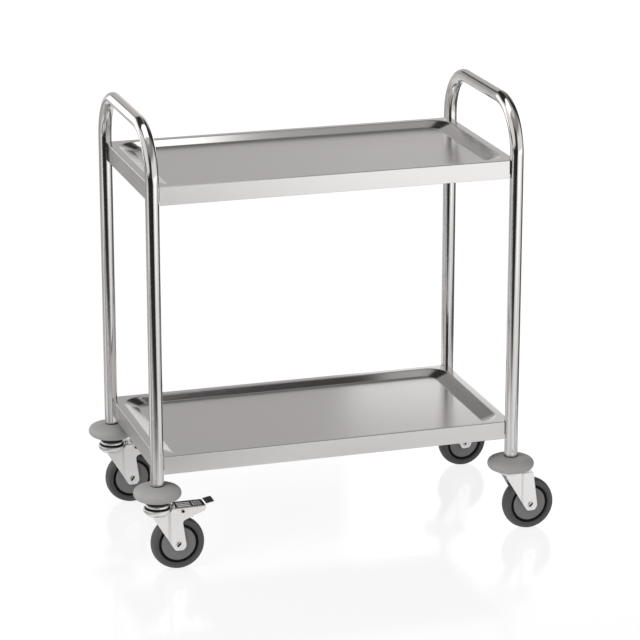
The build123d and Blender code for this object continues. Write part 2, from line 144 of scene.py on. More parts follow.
# Each dark card's name, two opposite corners, density, and fades from a clear to a dark place along X or Y
CARDS = (
    ("front_flag", (-12.0, -12.0), (0.2, -0.2), 0.97, (("Y", -0.50, -1.20), ("X", 0.10, -0.25))),
    ("right_flag", (0.7, -0.6), (12.0, 2.0), 0.85, (("X", 0.8, 1.3), ("Y", -0.55, -0.3))),
    ("right_near_flag", (0.45, 0.0), (1.4, 1.2), 0.70, (("Y", 0.0, 0.15), ("X", 0.45, 0.60))),
    ("left_flag", (-12.0, 0.1), (-0.7, 3.5), 0.42, (("X", -0.7, -1.0), ("Y", 0.15, 0.5))),
    ("left_near_flag", (-0.9, 0.0), (-0.38, 1.4), 0.55, (("X", -0.38, -0.48), ("X", -0.9, -0.75))),
    ("left_card", (-2.6, -0.95), (-0.43, 0.06), 0.60,
     (("X", -0.43, -0.47), ("X", -2.6, -1.9), ("Y", 0.06, 0.0))),
    ("side_card", (0.55, -0.78), (1.5, 0.10), 0.40,
     (("X", 0.55, 0.65), ("X", 1.5, 1.2), ("Y", -0.78, -0.66), ("Y", 0.10, 0.0))),
    ("right_card", (0.06, -0.58), (0.27, -0.32), 0.60,
     (("X", 0.06, 0.10), ("X", 0.27, 0.23), ("Y", -0.58, -0.54), ("Y", -0.32, -0.36))),
)

# Each soft box's name, place, aim, width, height, radiance, and whether it is mirrored
SOFT_BOXES = (
    ("overhead", (-0.5, 0.15, 2.2), (-0.5, 0.15, 0.0), 1.54, 0.90, 1.7, True),
    ("rear_left", (-1.5, 2.0, 1.0), (-0.6, 0.0, 0.8), 1.4, 1.4, 1.0, True),
    ("rear_right", (1.25, 1.7, 0.60), (0.3, 0.0, 0.3), 1.2, 0.6, 0.7, True),
    ("key", (-2.2, -1.2, 2.6), (0.0, 0.0, 0.3), 2.0, 2.0, 4.2, False),
)


def length(name, description, default):
    """A length property, in metres."""
    return bpy.props.FloatProperty(name=name, description=description, default=default, unit="LENGTH")


class TrolleySizes(bpy.types.PropertyGroup):
    """The sizes that a user may change."""

    post_span_x: length("Post span along", "Between the leg axes along the trays", 0.685)
    post_span_y: length("Post span across", "Between the leg axes across the trays", 0.360)
    tube_radius: length("Tube radius", "Outer radius of the frame tube", 0.0125)
    bend_radius: length("Bend radius", "Of the handle, to the tube's centre line", 0.090)
    tray_corner: length("Tray corner", "Corner radius of the trays' openings", 0.040)
    bumper_radius: length("Bumper radius", "Of the discs on the legs", 0.044)
    wheel_radius: length("Wheel radius", "Over the tread", 0.050)


def colour(name, description, default):
    """A colour property, its default given as linear red, green and blue."""
    return bpy.props.FloatVectorProperty(
        name=name, description=description, default=default, subtype="COLOR", size=3, min=0.0, max=1.0
    )


class TrolleyColours(bpy.types.PropertyGroup):
    """The colours that a user may change."""

    polished: colour("Polished steel", "The frame tubes", (0.66, 0.65, 0.64))
    satin: colour("Satin steel", "The trays", (0.597, 0.588, 0.583))
    zinc: colour("Bright zinc", "The forks, caps and pedals", (0.80, 0.795, 0.79))
    bumper: colour("Bumper", "The grey bumper discs", (0.36, 0.36, 0.355))
    tyre: colour("Tyre", "The tyres", (0.076, 0.076, 0.077))
    core: colour("Wheel centre", "The wheel centres", (0.190, 0.190, 0.191))
    # dark is also the base of the painted shade in gaps, grooves, slots and holes, and of the dark tray
    # underside
    dark: colour("Dark plastic", "The spacers, seals and gaps", (0.014, 0.014, 0.015))
    bush: colour("Bush", "The wheel bushes", (0.55, 0.54, 0.50))
    floor: colour("Floor", "The studio floor", (0.90, 0.90, 0.90))


def sizes():
    return bpy.context.scene.trolley_sizes


def colours():
    return bpy.context.scene.trolley_colours


# Modelling by hand

def point(x, y, z):
    """A place given in millimetres."""
    return Vector((x, y, z)) * MM


def level_plane(z):
    """The plane at a height, on which an outline's two measures are X and Y."""
    return lambda u, v: point(u, v, z)


def side_plane(y):
    """The upright plane at a depth, on which an outline's two measures are X and Z."""
    return lambda u, v: point(u, y, v)


def half_spans():
    """Half the distances between the leg axes along X and Y, in millimetres."""
    return sizes().post_span_x / MM / 2, sizes().post_span_y / MM / 2


def post(name):
    """A caster's leg axis on the floor, in millimetres."""
    half_x, half_y = half_spans()
    side_x, side_y, _ = CASTERS[name]
    return side_x * half_x, side_y * half_y


def start(name, primitive, **settings):
    """Adds a primitive as a new piece and opens it for editing, all of it selected."""
    bpy.ops.object.select_all(action="DESELECT")
    getattr(bpy.ops.mesh, f"primitive_{primitive}_add")(**settings)
    piece = bpy.context.object
    piece.name = piece.data.name = name
    bpy.ops.object.transform_apply()
    bpy.ops.object.mode_set(mode="EDIT")
    bpy.ops.mesh.select_mode(type="VERT")
    bpy.ops.mesh.select_all(action="SELECT")
    return piece


def middle(part):
    """The middle of a vertex, edge or face, in millimetres."""
    corners = [part] if isinstance(part, bmesh.types.BMVert) else part.verts
    return sum((corner.co for corner in corners), Vector()) / len(corners) / MM


def pick(kind, test):
    """Selects the vertices, edges or faces that pass a test, and nothing else."""
    bpy.ops.mesh.select_mode(type=kind)
    bpy.ops.mesh.select_all(action="DESELECT")
    data = bpy.context.object.data
    mesh = bmesh.from_edit_mesh(data)
    for part in {"VERT": mesh.verts, "EDGE": mesh.edges, "FACE": mesh.faces}[kind]:
        part.select_set(bool(test(part)))
    mesh.select_flush_mode()
    bmesh.update_edit_mesh(data)


def extrude(step):
    """Extrudes what is selected by a step in metres."""
    bpy.ops.mesh.extrude_region_move(TRANSFORM_OT_translate={"value": step})


def spin(centre, axis, angle):
    """Extrudes what is selected round an axis, counter-clockwise, with no window."""
    steps = max(2, ceil(abs(angle) / ARC_STEP))
    bpy.ops.mesh.spin(steps=steps, angle=-radians(angle), center=centre, axis=axis)


def draw(begin, moves, plane):
    """Draws an outline from one vertex.

    A move is a point to go to, or a centre and an angle to turn about it.
    """
    axis = (plane(1, 0) - plane(0, 0)).cross(plane(0, 1) - plane(0, 0)).normalized()
    bpy.ops.mesh.primitive_plane_add(size=MM, location=plane(*begin))
    bpy.ops.mesh.merge(type="CENTER")
    here = Vector(begin)
    for move in moves:
        if len(move) == 2:
            extrude(plane(*move) - plane(*here))
            here = Vector(move)
            continue
        hub, angle = Vector(move[:2]), move[2]
        spin(plane(*hub), axis, angle)
        arm = here - hub
        turn = atan2(arm.y, arm.x) + radians(angle)
        here = hub + arm.length * Vector((cos(turn), sin(turn)))


def merge():
    """Selects all and merges what meets."""
    bpy.ops.mesh.select_all(action="SELECT")
    bpy.ops.mesh.remove_doubles(threshold=MERGE_REACH * MM)


def face_outwards():
    """Selects all and turns the faces outwards."""
    bpy.ops.mesh.select_all(action="SELECT")
    bpy.ops.mesh.normals_make_consistent(inside=False)


def sketch(name, begin, moves, plane):
    """A new piece with one closed outline, filled."""
    piece = start(name, "plane", size=MM)
    bpy.ops.mesh.delete(type="VERT")
    draw(begin, moves, plane)
    merge()
    bpy.ops.mesh.edge_face_add()
    return piece


def box(name, centre, size, **settings):
    """Adds a box as a new piece and opens it for editing."""
    return start(name, "cube", size=1.0, location=point(*centre), scale=point(*size), **settings)


def round_corner(place, reach, segments=6):
    """Rounds the corners nearest to a place, from a reach along both edges."""
    near = point(*place)
    pick("VERT", lambda v: (v.co - near).length < 2 * SLACK * MM)
    bpy.ops.mesh.bevel(offset=reach * MM, affect="VERTICES", segments=segments, profile=0.5)


def round_edges(test, reach, segments):
    """Rounds the edges that pass a test."""
    pick("EDGE", test)
    bpy.ops.mesh.bevel(offset=reach * MM, segments=segments, affect="EDGES")


def modify(piece, kind, **settings):
    """Adds a modifier and applies it."""
    modifier = piece.modifiers.new(kind.title(), kind)
    for key, value in settings.items():
        setattr(modifier, key, value)
    bpy.context.view_layer.objects.active = piece
    bpy.ops.object.modifier_apply(modifier=modifier.name)


def close():
    """Merges what meets, points the faces outwards and goes back to object mode."""
    merge()
    face_outwards()
    bpy.ops.object.mode_set(mode="OBJECT")


def block_up(step):
    """Extrudes a whole sketch by a step in metres and goes back to object mode."""
    pick("FACE", lambda f: True)
    extrude(step)
    close()


def thicken(piece, thickness, out):
    """Goes back to object mode and makes a flat shape a sheet, inwards from the side that faces out."""
    face_outwards()
    pick("FACE", lambda f: f.normal.dot(Vector(out)) < 0)
    bpy.ops.mesh.flip_normals()
    bpy.ops.object.mode_set(mode="OBJECT")
    modify(piece, "SOLIDIFY", thickness=thickness * MM, offset=-1.0)


def choose(piece):
    """Selects one piece alone and makes it the active one."""
    bpy.ops.object.select_all(action="DESELECT")
    piece.select_set(True)
    bpy.context.view_layer.objects.active = piece


def smooth(piece, edge=0.0, segments=2):
    """Rounds the sharp edges and shades the rest smooth."""
    choose(piece)
    if edge:
        limit = {"limit_method": "ANGLE", "angle_limit": radians(BEVEL_ANGLE)}
        modify(piece, "BEVEL", width=edge * MM, segments=segments, **limit)
    bpy.ops.object.shade_smooth_by_angle(angle=radians(SMOOTH_ANGLE))
    modify(piece, "WEIGHTED_NORMAL", keep_sharp=True)
    return piece


def arc(centre, radius, first, last, steps=8):
    """Points on an arc of a section, as radius and height."""
    angles = [radians(first + (last - first) * i / steps) for i in range(steps + 1)]
    return [(centre[0] + radius * cos(a), centre[1] + radius * sin(a)) for a in angles]


def tangent_arc(begin, heading, end, steps=8):
    """Points on the arc that leaves one point in a direction and reaches another."""
    begin, end = Vector(begin), Vector(end)
    chord = end - begin
    side = Vector((-heading[1], heading[0]))
    reach = chord.length_squared / (2 * chord.dot(side))
    centre = begin + side * reach
    first = degrees(atan2(*(begin - centre).yx))
    last = degrees(atan2(*(end - centre).yx))
    if reach > 0 and last < first:
        last += 360
    if reach < 0 and last > first:
        last -= 360
    return arc(centre, abs(reach), first, last, steps)


def both_sides(half):
    """A section that is the same on both sides of its middle."""
    return half + [(r, -h) for r, h in reversed(half)]


def turned(name, rings, axis="Z", centre=(0.0, 0.0, 0.0), segments=64, solid=False):
    """A round piece: a circle, filled if it is solid, extruded and resized ring by ring along its axis."""
    along = {"Y": Vector((0, 1, 0)), "Z": Vector((0, 0, 1))}[axis]
    turn = {"Y": (pi / 2, 0, 0), "Z": (0, 0, 0)}[axis]
    base = point(*centre)
    radius, height = rings[0]
    place = base + along * height * MM
    piece = start(name, "circle", vertices=segments, radius=radius * MM, location=place, rotation=turn)
    if solid:
        bpy.ops.mesh.edge_face_add()
    for wide, high in rings[1:]:
        extrude(along * (high - height) * MM)
        grow = wide / radius
        value = [1.0 if part else grow for part in along]
        bpy.ops.transform.resize(value=value, center_override=base + along * high * MM)
        radius, height = wide, high
    close()
    return piece


def join(name, pieces):
    """Makes several pieces one."""
    bpy.ops.object.select_all(action="DESELECT")
    for piece in pieces:
        piece.select_set(True)
    bpy.context.view_layer.objects.active = pieces[0]
    bpy.ops.object.join()
    pieces[0].name = pieces[0].data.name = name
    return pieces[0]


def twin(piece):
    """A copy of a piece with its own mesh."""
    choose(piece)
    bpy.ops.object.duplicate()
    return bpy.context.object


def mirrored(piece):
    """A copy of a piece on the other side of the XZ plane."""
    copy = twin(piece)
    copy.scale = (1, -1, 1)
    bpy.ops.object.transform_apply()
    bpy.ops.object.mode_set(mode="EDIT")
    face_outwards()
    bpy.ops.object.mode_set(mode="OBJECT")
    return copy


def copy_to(model, name, place, turn=0.0):
    """A copy of a piece at a place in millimetres, turned about Z."""
    copy = twin(model)
    copy.name = copy.data.name = name
    copy.location = point(*place)
    copy.rotation_euler = (0, 0, radians(turn))
    bpy.ops.object.transform_apply()
    return copy


def settle(piece, body, slot, *nodes):
    """Makes a piece ride on its body and stand for its nodes."""
    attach(piece, body)
    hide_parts(*nodes)


def paint(piece, slot, detail=None, test=None):
    """Gives a piece the material of a slot, and the faces that pass a test that of a detail."""
    materials = piece.data.materials
    materials.clear()
    materials.append(finish_of(slot))
    if detail is None:
        return
    materials.append(finish_of(detail))
    choose(piece)
    bpy.ops.object.mode_set(mode="EDIT")
    pick("FACE", test)
    piece.active_material_index = 1
    bpy.ops.object.material_slot_assign()
    bpy.ops.object.mode_set(mode="OBJECT")


# Finishes

class Value:
    """A node's output. Sums on it add Math nodes."""

    def __init__(self, nodes, socket):
        self.nodes = nodes
        self.socket = socket

    def math(self, operation, first, second):
        return self.nodes.node("Math", {0: first, 1: second}, operation=operation)

    def __add__(self, other):
        return self.math("ADD", self, other)

    def __rsub__(self, other):
        return self.math("SUBTRACT", other, self)

    def __mul__(self, other):
        return self.math("MULTIPLY", self, other)

    __radd__ = __add__
    __rmul__ = __mul__


class Nodes:
    """A node tree, with short forms for the nodes that the finishes and the studio use."""

    def __init__(self, tree):
        self.tree = tree

    def feed(self, node, sockets):
        """Sets or links a node's sockets."""
        for key, value in sockets.items():
            if isinstance(value, Value):
                self.tree.links.new(value.socket, node.inputs[key])
            else:
                node.inputs[key].default_value = value

    def node(self, kind, sockets=None, output=0, **settings):
        """Adds a shader node: its type, the values or links of its sockets, its output and its settings."""
        made = self.tree.nodes.new(f"ShaderNode{kind}")
        for key, value in settings.items():
            setattr(made, key, value)
        self.feed(made, sockets or {})
        return Value(self, made.outputs[output])

    def place(self, scale=(1.0, 1.0, 1.0)):
        """Object coordinates, stretched."""
        coordinates = self.node("TexCoord", output="Object")
        return self.node("Mapping", {"Vector": coordinates, "Scale": scale})

    def part(self, vector, axis):
        """One part of a vector."""
        return self.node("SeparateXYZ", {0: vector}, axis)

    def noise(self, scale, stretch=(1.0, 1.0, 1.0), detail=3.0, roughness=0.55):
        """Noise between 0 and 1, at so many features to the metre."""
        sockets = {"Vector": self.place(stretch), "Scale": scale, "Detail": detail, "Roughness": roughness}
        return self.node("TexNoise", sockets)

    def ramp(self, value, low, high):
        """A soft step of a value, from 0 at the first level to 1 at the second."""
        sockets = {"Value": value, "From Min": low, "From Max": high}
        return self.node("MapRange", sockets, interpolation_type="SMOOTHSTEP")

    def band(self, value, begin, full, fading, end):
        """A soft band of a value: it rises between the first two levels and falls between the last two."""
        return self.ramp(value, begin, full) * self.ramp(value, end, fading)

    def blend(self, share, first, second):
        """A colour between two others."""
        sockets = {0: share, 6: (*first, 1.0), 7: (*second, 1.0)}
        return self.node("Mix", sockets, 2, data_type="RGBA")

    def tint(self, share, level, first, second):
        """A colour between two shades of another."""
        return self.blend(share, shade(level, first), shade(level, second))

    def bump(self, height, distance, strength=1.0):
        """Relief of a height in metres."""
        sockets = {"Height": height, "Distance": distance, "Strength": strength}
        return self.node("Bump", sockets)


class Finish(Nodes):
    """A procedural material round one shader."""

    def __init__(self, name, **constants):
        self.material = bpy.data.materials.new(name)
        self.material.use_nodes = True
        super().__init__(self.material.node_tree)
        self.shader = self.tree.nodes["Principled BSDF"]
        self.done(**constants)

    def done(self, **sockets):
        """Feeds the shader and returns the material."""
        for key, value in sockets.items():
            self.feed(self.shader, {key.replace("_", " ").title().replace("Ior", "IOR"): value})
        return self.material


def shade(level, factor):
    """A colour made lighter or darker."""
    return tuple(min(1.0, part * factor) for part in level)


def polished_steel():
    """Drawn and polished stainless tube: mirror-like, with faint haze and drawing waves."""
    finish = Finish("polished_steel", metallic=1.0)
    haze = finish.noise(26.0, detail=4.0)
    waves = finish.noise(55.0, (1.0, 1.0, 0.12), 2.0)
    return finish.done(
        base_color=finish.tint(haze, colours().polished, 0.96, 1.03),
        roughness=0.09 + finish.ramp(haze, 0.35, 0.75) * 0.05,
        normal=finish.bump(waves, 0.00006, 0.5),
    )


def satin_steel():
    """Brushed stainless sheet: fine grain along the tray, with soft clouds in its gloss."""
    finish = Finish("satin_steel", metallic=1.0)
    grain = finish.noise(1.0, (28.0, 1700.0, 1700.0), 3.0, 0.6)
    lines = finish.noise(1.0, (7.0, 420.0, 420.0), 2.0, 0.5)
    cloud = finish.noise(9.0, (0.6, 1.0, 1.0), 4.0)
    return finish.done(
        base_color=finish.tint(grain * 0.6 + cloud * 0.4, colours().satin, 0.93, 1.06),
        roughness=0.12 + grain * 0.08 + cloud * 0.05 + lines * 0.03,
        normal=finish.bump(grain * 0.7 + lines * 0.3, 0.00001, 0.6),
    )


def bright_zinc(name, gloss):
    """Pressed steel with bright zinc: pale, with a fine spangle and slight press marks."""
    finish = Finish(name, metallic=1.0)
    spangle = finish.noise(420.0, detail=2.0)
    cloud = finish.noise(60.0, detail=3.0)
    return finish.done(
        base_color=finish.tint(spangle * 0.5 + cloud * 0.5, colours().zinc, 0.93, 1.05),
        roughness=gloss + spangle * 0.10 + cloud * 0.06,
        normal=finish.bump(spangle, 0.00002, 0.4),
    )


def moulded(name, level, gloss, grain_scale, grain_depth):
    """A moulded plastic or rubber: fine grain, soft patches and a dull gloss."""
    finish = Finish(name)
    grain = finish.noise(grain_scale, detail=2.0)
    patches = finish.noise(45.0, detail=4.0)
    return finish.done(
        base_color=finish.tint(patches * 0.7 + grain * 0.3, level, 0.90, 1.10),
        roughness=gloss + patches * 0.12 + grain * 0.06,
        normal=finish.bump(grain, grain_depth, 0.5),
    )


FINISHES = {}


def finish_of(slot):
    """The material of one of the record's slots or of a detail in one, made once."""
    if slot in FINISHES:
        return FINISHES[slot]
    tyre, dark = colours().tyre, colours().dark
    shared = {"bracket_steel": "satin_sheet", "fastener_steel": "zinc_steel", "plug_flange": "zinc_steel"}
    zincs = {"zinc_steel": ("bright_zinc", 0.22), "pedal_steel": ("pedal_steel", 0.07)}
    mouldings = {
        "bumper_rubber": (colours().bumper, 0.46, 1900.0, 0.00006),
        "tyre_rubber": (tyre, 0.48, 1500.0, 0.00008),
        "core_plastic": (colours().core, 0.42, 1300.0, 0.00004),
        "bush_plastic": (colours().bush, 0.35, 900.0, 0.00003),
        "shoe_rubber": (shade(tyre, 0.6), 0.55, 1500.0, 0.00008),
        # The spacers' dark plastic, halved as painted shade under the bumpers
        "spacer_plastic": (shade(dark, 0.5), 0.55, 1100.0, 0.00004),
        "dark_underside": (shade(dark, 1.6), 0.70, 700.0, 0.0002),
        # shadow_gap is painted shade for gaps, grooves, slots and holes
        "shadow_gap": (shade(dark, 0.3), 0.75, 900.0, 0.00003),
    }
    if slot in shared:
        made = finish_of(shared[slot])
    elif slot in zincs:
        made = bright_zinc(*zincs[slot])
    elif slot in mouldings:
        made = moulded(slot, *mouldings[slot])
    else:
        made = {"polished_tube": polished_steel, "satin_sheet": satin_steel}[slot]()
    FINISHES[slot] = made
    return made


# Pieces

def frame_tube(name, side_x):
    """An end frame: a circle extruded up one leg, round both bends and down the other leg."""
    radius, bend = sizes().tube_radius, sizes().bend_radius
    x, half = side_x * sizes().post_span_x / 2, sizes().post_span_y / 2
    foot = (LEG_END + (SPACER_H if side_x < 0 else 0.0)) * MM
    mouth = TUBE_MOUTH * MM
    shoulder = HANDLE_Z * MM - bend
    piece = start(name, "circle", vertices=72, radius=radius, location=(x, -half, foot))
    extrude((0, 0, mouth))
    extrude((0, 0, shoulder - foot - mouth))
    spin((x, bend - half, shoulder), (1, 0, 0), -90)
    extrude((0, 2 * (half - bend), 0))
    spin((x, half - bend, shoulder), (1, 0, 0), -90)
    extrude((0, 0, foot + mouth - shoulder))
    extrude((0, 0, -mouth))
    close()
    modify(piece, "SOLIDIFY", thickness=TUBE_WALL * MM, offset=-1.0)
    return smooth(piece, 0.25)


def tray_outline(half_x, half_y, corner, turn):
    """An outline with a quarter turn at each corner: inwards about the corner, or round it."""
    begin = (corner - half_x, -half_y)
    moves = []
    for side_x, side_y in ((1, -1), (1, 1), (-1, 1), (-1, -1)):
        if side_x * side_y < 0:
            moves.append((side_x * (half_x - corner), side_y * half_y))
        else:
            moves.append((side_x * half_x, side_y * (half_y - corner)))
        inset = corner if turn > 0 else 0.0
        moves.append((side_x * (half_x - inset), side_y * (half_y - inset), turn))
    return begin, moves


def tray_sheet(name, rim_z):
    """A tray of one sheet: rim, sloped walls, floor, and aprons with a hem folded inside."""
    half_x, half_y = half_spans()
    corner = sizes().tray_corner / MM
    low = rim_z - APRON
    level_reach, side_reach, least_bend, side_length = 0.05, 0.4, 0.02, 100.0
    plane = level_plane(rim_z)

    def inside(part):
        at = middle(part)
        return abs(at.x) < half_x - RIM + SLACK and abs(at.y) < half_y - RIM + SLACK

    def on_side(edge):
        at = middle(edge)
        outer = abs(at.x) > half_x - SLACK or abs(at.y) > half_y - SLACK
        return outer and edge.calc_length() > side_length * MM

    def level_at(edge, height):
        return all(abs(v.co.z / MM - height) < level_reach for v in edge.verts)

    def recess_edge(height):
        def test(edge):
            slopes = [abs(f.normal.z) for f in edge.link_faces]
            bent = len(slopes) == 2 and abs(slopes[0] - slopes[1]) > least_bend
            return bent and level_at(edge, height) and inside(edge)
        return test

    def apron_edge(height):
        def test(edge):
            at = middle(edge)
            near = abs(abs(at.x) - half_x) < side_reach or abs(abs(at.y) - half_y) < side_reach
            return near and level_at(edge, height) and len(edge.link_faces) == 2
        return test

    piece = start(name, "plane", size=MM)
    bpy.ops.mesh.delete(type="VERT")
    draw(*tray_outline(half_x, half_y, NOTCH_R, -90), plane)
    draw(*tray_outline(half_x - RIM, half_y - RIM, corner, 90), plane)
    merge()
    bpy.ops.mesh.bridge_edge_loops()
    pick("EDGE", lambda e: len(e.link_faces) == 1 and all(inside(v) for v in e.verts))
    bpy.ops.mesh.edge_face_add()
    face_outwards()
    pick("FACE", lambda f: len(f.verts) > 8)
    bpy.ops.mesh.inset(thickness=WALL_RUN * MM, depth=-TRAY_DEPTH * MM)
    floor_x = half_x - RIM - WALL_RUN
    shorter = (floor_x - END_WALL_RUN + WALL_RUN) / floor_x
    bpy.ops.transform.resize(value=(shorter, 1, 1), center_override=point(0, 0, rim_z))
    pick("EDGE", on_side)
    extrude((0, 0, -APRON * MM))
    extrude((0, 0, 0))
    shrink = ((half_x - 2 * SHEET) / half_x, (half_y - 2 * SHEET) / half_y, 1)
    bpy.ops.transform.resize(value=shrink, center_override=point(0, 0, low))
    extrude((0, 0, HEM * MM))
    round_edges(recess_edge(rim_z - TRAY_DEPTH), 1.5, 4)
    round_edges(recess_edge(rim_z), 2.0, 4)
    round_edges(apron_edge(rim_z), 1.6, 4)
    round_edges(apron_edge(low), 0.8, 3)
    merge()
    bpy.ops.object.mode_set(mode="OBJECT")
    modify(piece, "SOLIDIFY", thickness=SHEET * MM, offset=-1.0, use_even_offset=True)
    smooth(piece)
    # The underside of the tray above the hem is painted dark.
    paint(piece, "satin_sheet", "dark_underside", lambda f: f.normal.z < -0.5 and middle(f).z > low + HEM)
    return piece


def bumper_disc():
    """The grey disc: a full round nose, a domed top and a thin underside."""
    radius = sizes().bumper_radius / MM
    nose_r, nose_z, foot_angle, top_angle = 10.0, 10.5, 60.0, 65.0
    foot_r, neck_r, neck_z = 32.0, 14.0, BUMPER_H - 0.4
    hollow_r, hollow_z = CAP_R + 0.5, 5.8
    nose = arc((radius - nose_r, nose_z), nose_r, -foot_angle, top_angle, 16)
    down = (-sin(radians(foot_angle)), -cos(radians(foot_angle)))
    up = (-sin(radians(top_angle)), cos(radians(top_angle)))
    under = tangent_arc(nose[0], down, (foot_r, 0.0))
    dome = tangent_arc(nose[-1], up, (neck_r, BUMPER_H), 14)
    inner = [(STEM_HOLE_R, hollow_z), (hollow_r, hollow_z), (hollow_r, 0.6), (hollow_r + 0.6, 0.0)]
    outer = list(reversed(under))[:-1] + nose[:-1] + dome
    lip = [(neck_r - 0.6, BUMPER_H + 0.05), (neck_r - 1.1, neck_z), (STEM_HOLE_R, neck_z)]
    rings = [(r, h + BUMPER_LOW) for r, h in inner + outer + lip]
    return smooth(turned("bumper_model", rings, segments=96))


def tube_plug_ring():
    """The plug's flange under the tube, with the plug above it."""
    low, end, top = BUMPER_LOW + BUMPER_H, LEG_END, LEG_END + PLUG_H
    rings = [(STEM_HOLE_R, low), (FLANGE_R - 0.6, low), (FLANGE_R, low + 0.4), (FLANGE_R, end - 0.35)]
    rings += [(FLANGE_R - 0.3, end), (PLUG_R, end)]
    rings += [(PLUG_R, top - 0.8), (PLUG_R - 0.8, top), (STEM_HOLE_R, top)]
    return smooth(turned("plug_model", rings))


def spacer_neck():
    """The neck over a braked caster's cap: dark plastic, darkened further with painted shade."""
    top, edge = CAP_TOP + SPACER_H, 0.6
    rings = [(STEM_HOLE_R, CAP_TOP), (SPACER_R - edge, CAP_TOP), (SPACER_R, CAP_TOP + edge)]
    rings += [(SPACER_R, top - edge), (SPACER_R - edge, top), (STEM_HOLE_R, top)]
    return smooth(turned("spacer_model", rings))


def cap_ring():
    """The fixed half of the swivel head: a bright ring over a narrower band painted with the shade of the
    gap above the crown.
    """
    shaded_r, shaded_z = CAP_R - 0.9, CAP_LOW + CAP_SHADE_H
    rings = [(RACE_HOLE_R, CAP_LOW), (shaded_r, CAP_LOW), (shaded_r, shaded_z), (CAP_R - 0.4, shaded_z + 0.1)]
    rings += [(CAP_R, shaded_z + 0.5), (CAP_R, CAP_TOP - 1.6), (CAP_R - 0.3, CAP_TOP - 0.9)]
    rings += [(CAP_R - 1.2, CAP_TOP), (RACE_HOLE_R, CAP_TOP)]
    return smooth(turned("cap_model", rings, segments=96))


def fork_crown(braked):
    """The fork's head: a bowl, or a flat plate without a brake, with a round brim and a seal groove on top
    painted with shade.
    """
    brim_r, seal_in, groove_z = 2.0, 22.0, RACE_TOP - SEAL_GROOVE
    if braked:
        under = [(17.7, -4.8), (18.7, -5.2), (24.4, 0.6), (25.5, 2.2), (CROWN_R, 4.2)]
    else:
        under = [(18.0, 3.0), (19.0, 3.6), (24.6, 4.4), (25.6, 5.0), (CROWN_R, 6.0)]
    rings = [(r, CROWN_LOW + h) for r, h in [(RACE_HOLE_R, 0.0), (17.5, 0.0), *under]]
    rings += arc((CROWN_R - brim_r, RACE_TOP - brim_r - 0.6), brim_r, 0, 90, 6)
    rings += [(SEAL_R, RACE_TOP - 0.6), (SEAL_R, groove_z), (seal_in, groove_z)]
    rings += [(seal_in, RACE_TOP), (RACE_HOLE_R, RACE_TOP)]
    return smooth(turned("crown_model", rings, segments=96))


def touch(place, centre, radius, side):
    """The angle on a circle at which a line from a place touches it, on one side."""
    away = Vector(place) - Vector(centre)
    return degrees(atan2(away.y, away.x)) + side * degrees(acos(radius / away.length))


def on_circle(centre, radius, angle):
    """The point on a circle at an angle."""
    return centre[0] + radius * cos(radians(angle)), centre[1] + radius * sin(radians(angle))


def fork_leg(braked):
    """A leg of creased sheet, on the side of -Y. A braked one has an arm behind for the pedal."""
    axle = (TRAIL, AXLE_Z)
    front = touch((-LEG_FRONT, LEG_SHOULDER), axle, FOOT_R, 1)
    rear = touch((LEG_REAR, LEG_SHOULDER), axle, FOOT_R, -1)
    flat = degrees(atan2(FOOT_DROP, sqrt(FOOT_R**2 - FOOT_DROP**2)))
    moves = [
        (-LEG_FRONT, LEG_SHOULDER),
        on_circle(axle, FOOT_R, front),
        (*axle, (180 + flat - front) % 360),
        on_circle(axle, FOOT_R, -flat),
        (*axle, (rear + flat) % 360),
    ]
    corners = [(on_circle(axle, FOOT_R, side), 5.0, 6) for side in (180 + flat, -flat)]
    if braked:
        foot = Vector(on_circle(axle, FOOT_R, rear))
        rise = (Vector((LEG_REAR, LEG_SHOULDER)) - foot).normalized()
        pit = tuple(foot + rise * (ARM_PIT - foot.y) / rise.y)
        moves += [pit, (ARM_END, ARM_LOW), (ARM_END, ARM_TOP)]
        moves += [(CREASE_X + 3.0, ARM_TOP), (CREASE_X, RACE_LOW)]
        corners += [(pit, 5.0, 8), ((ARM_END, ARM_LOW), 3.0, 6), ((ARM_END, ARM_TOP), 2.0, 6)]
    else:
        moves += [(LEG_REAR, LEG_SHOULDER), (LEG_REAR, RACE_LOW)]
    moves.append((-LEG_FRONT, RACE_LOW))
    piece = sketch("leg_model", (-LEG_FRONT, RACE_LOW), moves, side_plane(-LEG_OUT))
    for (x, z), reach, segments in corners:
        round_corner((x, -LEG_OUT, z), reach, segments)
    folds = [CREASE_X - CREASE_WIDE, CREASE_X]
    for fold_x in folds:
        bpy.ops.mesh.select_all(action="SELECT")
        bpy.ops.mesh.bisect(plane_co=point(fold_x, 0, 0), plane_no=(1, 0, 0))
    pick("VERT", lambda v: v.co.x < (CREASE_X - MERGE_REACH) * MM)
    bpy.ops.transform.translate(value=point(0, CREASE_STEP, 0))

    def on_fold(edge):
        return any(all(abs(v.co.x / MM - x) < MERGE_REACH for v in edge.verts) for x in folds)

    round_edges(on_fold, 1.9, 5)
    thicken(piece, LEG_OUT - LEG_IN, (0, -1, 0))
    return smooth(piece, 0.45)


def fork_model(braked):
    """A pressed fork: crown, two legs, and a web behind where there is no brake."""
    leg = fork_leg(braked)
    pieces = [fork_crown(braked), leg, mirrored(leg)]
    if not braked:
        front, height = 12.0, 3.0
        centre = ((front + LEG_REAR) / 2, 0, RACE_LOW - height / 2)
        web = box("web_model", centre, (LEG_REAR - front, 2 * LEG_IN + 1, height))
        close()
        pieces.append(smooth(web, 1.0))
    fork = join("fork_model", pieces)

    def in_shaded_seal_groove(face):
        at = middle(face)
        return at.z > RACE_TOP - SEAL_GROOVE - SLACK / 2 and hypot(at.x, at.y) < SEAL_R + SLACK

    # The seal groove on the crown's top is painted shade.
    paint(fork, "zinc_steel", "shadow_gap", in_shaded_seal_groove)
    return fork


